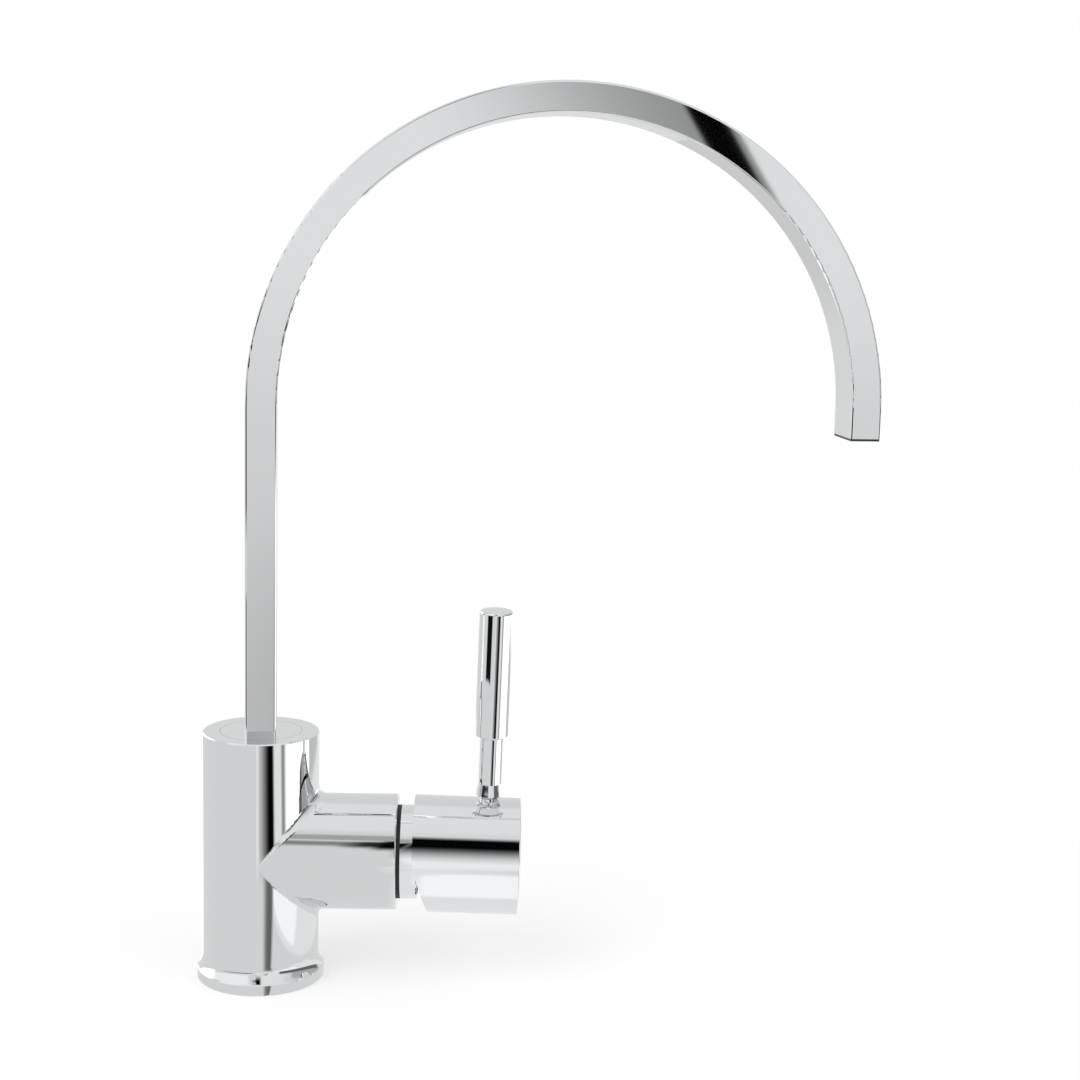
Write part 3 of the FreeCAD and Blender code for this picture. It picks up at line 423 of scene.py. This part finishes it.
def floor_material(studio):
    """Matt white paper.

    To the camera it turns into the white backdrop a little way from the tap, and
    close to the tap it keeps its soft shadow. A mirror sees a painted reflection in
    its place, glowing with painted light and shade, and every other ray meets plain paper.
    """
    material, tree, shader = surface("matt white paper", studio.floor_colour, Roughness=0.9)
    material.cycles.emission_sampling = "NONE"  # its glow is for the eye and lights nothing
    point = object_point(tree)
    path = add_node(tree, "ShaderNodeLightPath").outputs
    fade = add_node(
        tree, "ShaderNodeMapRange", {0: length_from(tree, point, (0.0, 0.0, 0.0))},
        interpolation_type="SMOOTHSTEP",
        in_1=GLOW_EDGE[0], in_2=GLOW_EDGE[1], in_3=studio.floor_glow, in_4=1.0)
    backdrop = add_node(tree, "ShaderNodeEmission", in_0=WHITE, in_1=1.0)
    seen = add_node(
        tree, "ShaderNodeMixShader",
        {0: fade.outputs[0], 1: shader.outputs[0], 2: backdrop.outputs[0]})
    by_camera = add_node(
        tree, "ShaderNodeMixShader",
        {0: path["Is Camera Ray"], 1: shader.outputs[0], 2: seen.outputs[0]})
    by_mirror = add_node(
        tree, "ShaderNodeMixShader",
        {0: path["Is Glossy Ray"], 1: by_camera.outputs[0],
         2: painted_floor_reflection(tree, point, studio)})
    tree.links.new(by_mirror.outputs[0], tree.nodes["Material Output"].inputs[0])
    return material


def floor_plane(studio):
    """Pale floor under the tap, a square that reaches past every view."""
    corners = [
        (x * FLOOR_HALF, y * FLOOR_HALF, 0.0) for x, y in ((-1, -1), (1, -1), (1, 1), (-1, 1))]
    mesh = bpy.data.meshes.new("studio_floor")
    mesh.from_pydata(corners, [], [(0, 1, 2, 3)])
    mesh.materials.append(floor_material(studio))
    floor = bpy.data.objects.new("studio_floor", mesh)
    bpy.context.scene.collection.objects.link(floor)
    return floor


def soft_lamp(name, place, side, power):
    """Square area lamp that points at the middle of the tap and isn't mirrored."""
    data = bpy.data.lights.new(name, "AREA")
    data.size = side
    data.energy = power
    lamp = bpy.data.objects.new(name, data)
    bpy.context.scene.collection.objects.link(lamp)
    lamp.location = place
    aim = TAP_MIDDLE - Vector(place)
    lamp.rotation_euler = aim.to_track_quat("-Z", "Y").to_euler()
    lamp.visible_glossy = False


def photograph_camera(studio):
    """Camera at the photograph's angle, from its place, yaw, pitch and roll."""
    data = bpy.data.cameras.new("camera")
    data.sensor_width = SENSOR_MM
    data.lens = studio.lens
    data.clip_start = CLIP_NEAR
    data.clip_end = CLIP_FAR
    cosine, sine = math.cos(studio.pitch), math.sin(studio.pitch)
    ahead = Vector((math.sin(studio.yaw) * cosine, math.cos(studio.yaw) * cosine, -sine))
    right = Vector((math.cos(studio.yaw), -math.sin(studio.yaw), 0.0))
    up = right.cross(ahead)
    cosine, sine = math.cos(studio.roll), math.sin(studio.roll)
    turned_right = cosine * right + sine * up
    turned_up = cosine * up - sine * right
    axes = Matrix((turned_right, turned_up, -ahead)).transposed()
    camera = bpy.data.objects.new("camera", data)
    bpy.context.scene.collection.objects.link(camera)
    camera.matrix_world = Matrix.Translation(studio.place) @ axes.to_4x4()
    bpy.context.scene.camera = camera


# ------------------------------------------------------------------ operators
def dress(nodes, material):
    """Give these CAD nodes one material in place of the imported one."""
    for name in nodes:
        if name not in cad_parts:
            raise RuntimeError(f"there is no node {name}")
        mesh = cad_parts[name].data
        mesh.materials.clear()
        mesh.materials.append(material)


class TAP_OT_chrome(bpy.types.Operator):
    """Chrome the body, the cover ring, the lever and the spout"""

    bl_idname = "tap.chrome"
    bl_label = "Chromed pieces"

    def execute(self, context):
        finish = context.scene.tap_finish
        dress(
            ["tap_body"],
            polished_chromium(
                "chromium plate on cast brass", finish, wave_mm=14.0, wave_depth_mm=0.010))
        dress(
            ["cover_ring", "lever_hub", "lever_rod", "lever_grip", "spout_tailpiece"],
            polished_chromium(
                "chromium plate on turned brass", finish, wave_mm=18.0, wave_depth_mm=0.004))
        dress(
            ["spout_tube"],
            polished_chromium(
                "chromium plate on drawn tube", finish, wave_mm=26.0, wave_depth_mm=0.006))
        return {"FINISHED"}


class TAP_OT_cartridge(bpy.types.Operator):
    """Finish the cartridge's plastic, ceramic and brass pieces"""

    bl_idname = "tap.cartridge"
    bl_label = "Cartridge"

    def execute(self, context):
        finish = context.scene.tap_finish
        dress(["cartridge_fixed_disc", "cartridge_moving_disc"], lapped_alumina(finish))
        dress(
            ["cartridge_housing", "swivel_washer"],
            moulded_plastic("moulded acetal", finish.housing_colour))
        dress(
            ["cartridge_port_plate", "cartridge_disc_carrier", "cartridge_rotor"],
            moulded_plastic("moulded filled nylon", finish.carrier_colour))
        dress(["cartridge_nut", "cartridge_stem", "filtered_feed_pipe"], machined_brass(finish))
        return {"FINISHED"}


class TAP_OT_seals(bpy.types.Operator):
    """Finish the rubber seals and the base gasket"""

    bl_idname = "tap.seals"
    bl_label = "Seals and gasket"

    def execute(self, context):
        dress(
            ["base_gasket", "cartridge_port_seals", "cover_ring_seal", "cartridge_rotor_seal",
             "spigot_o_ring_lower", "spigot_o_ring_upper", "feed_pipe_seal", "outlet_seal"],
            moulded_rubber(context.scene.tap_finish))
        return {"FINISHED"}


class TAP_OT_small_metal(bpy.types.Operator):
    """Finish the screws, the pivot pin and the outlet's plate"""

    bl_idname = "tap.small_metal"
    bl_label = "Screws, pin and outlet plate"

    def execute(self, context):
        dress(
            ["spout_retaining_screw", "hub_set_screw", "stem_pivot_pin", "stream_grid"],
            stainless_steel(context.scene.tap_finish))
        return {"FINISHED"}


class TAP_OT_outlet(bpy.types.Operator):
    """Finish the outlet insert, the nozzle and the filtered water tube"""

    bl_idname = "tap.outlet"
    bl_label = "Outlet and inner tube"

    def execute(self, context):
        finish = context.scene.tap_finish
        dress(
            ["outlet_insert", "filtered_nozzle"],
            moulded_plastic("moulded black acetal", finish.insert_colour))
        dress(
            ["filtered_inner_tube"],
            moulded_plastic("extruded water pipe", finish.tube_colour, roughness=0.35))
        return {"FINISHED"}


class TAP_OT_studio(bpy.types.Operator):
    """Set the studio's world, the lamps, the floor and the photograph's camera"""

    bl_idname = "tap.studio"
    bl_label = "Studio"

    def execute(self, context):
        studio = context.scene.tap_studio
        context.scene.view_settings.view_transform = "Standard"
        studio_world(studio)
        for name, (place, side, power) in LAMPS.items():
            soft_lamp(name, place, side, power)
        floor_plane(studio)
        photograph_camera(studio)
        return {"FINISHED"}


STEPS = (
    TAP_OT_chrome, TAP_OT_cartridge, TAP_OT_seals, TAP_OT_small_metal, TAP_OT_outlet, TAP_OT_studio,
)


class TAP_PT_panel(bpy.types.Panel):
    """Steps and settings of the tap, in the sidebar."""

    bl_label = "Tap"
    bl_idname = "TAP_PT_panel"
    bl_space_type = "VIEW_3D"
    bl_region_type = "UI"
    bl_category = "Tap"

    def draw(self, context):
        for step in STEPS:
            self.layout.operator(step.bl_idname)
        for group in (context.scene.tap_finish, context.scene.tap_studio):
            for name in group.bl_rna.properties.keys():
                if name not in ("rna_type", "name"):
                    self.layout.prop(group, name)


CLASSES = (TapFinish, TapStudio, *STEPS, TAP_PT_panel)


def register():
    for cls in CLASSES:
        bpy.utils.register_class(cls)
    bpy.types.Scene.tap_finish = bpy.props.PointerProperty(type=TapFinish)
    bpy.types.Scene.tap_studio = bpy.props.PointerProperty(type=TapStudio)


def unregister():
    del bpy.types.Scene.tap_studio
    del bpy.types.Scene.tap_finish
    for cls in reversed(CLASSES):
        bpy.utils.unregister_class(cls)


def main():
    register()
    for step in STEPS:
        group, name = step.bl_idname.split(".")
        getattr(getattr(bpy.ops, group), name)()


if __name__ == "__main__":
    main()
